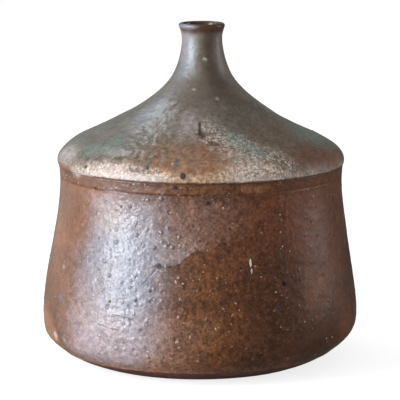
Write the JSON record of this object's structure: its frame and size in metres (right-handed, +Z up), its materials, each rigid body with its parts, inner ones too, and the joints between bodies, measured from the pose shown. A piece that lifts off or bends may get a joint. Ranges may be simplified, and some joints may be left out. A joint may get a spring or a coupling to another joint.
{
  "type": "bud vase",
  "caption": "Squat stoneware bud vase: a rounded drum on a turned foot, a hollow-sloped shoulder luted on with a proud edge, and a thin flared neck for a single stem.",
  "frame": {"origin": "centre of the foot ring, on the surface that the vase stands on", "axes": "+Z up along the axis of the pot, -Y towards the picture's camera, +X to its right"},
  "size_m": [0.136, 0.136, 0.1447],
  "materials": {
    "bare_foot": "bare fired stoneware, toasted dark brown, matt and grainy",
    "inside_glaze": "thin brown glaze on the floor of the pot",
    "iron_glaze": "thin iron brown glaze over grogged clay, satin gloss, orange-peel surface with pale specks",
    "seam_glaze": "darker iron brown glaze, satin",
    "ash_glaze": "grey and olive ash glaze, pale pink speckled band at the edge, satin to dry",
    "neck_glaze": "thin grey-brown ash glaze, satin",
    "lip_glaze": "dark iron brown glaze, glossy on the rim"
  },
  "bodies": {
    "root": {"foot_ring": "bare_foot", "floor": "inside_glaze", "body_wall": "iron_glaze", "seam_band": "seam_glaze", "shoulder": "ash_glaze", "neck": "neck_glaze", "lip": "lip_glaze"}
  },
  "joints": []
}
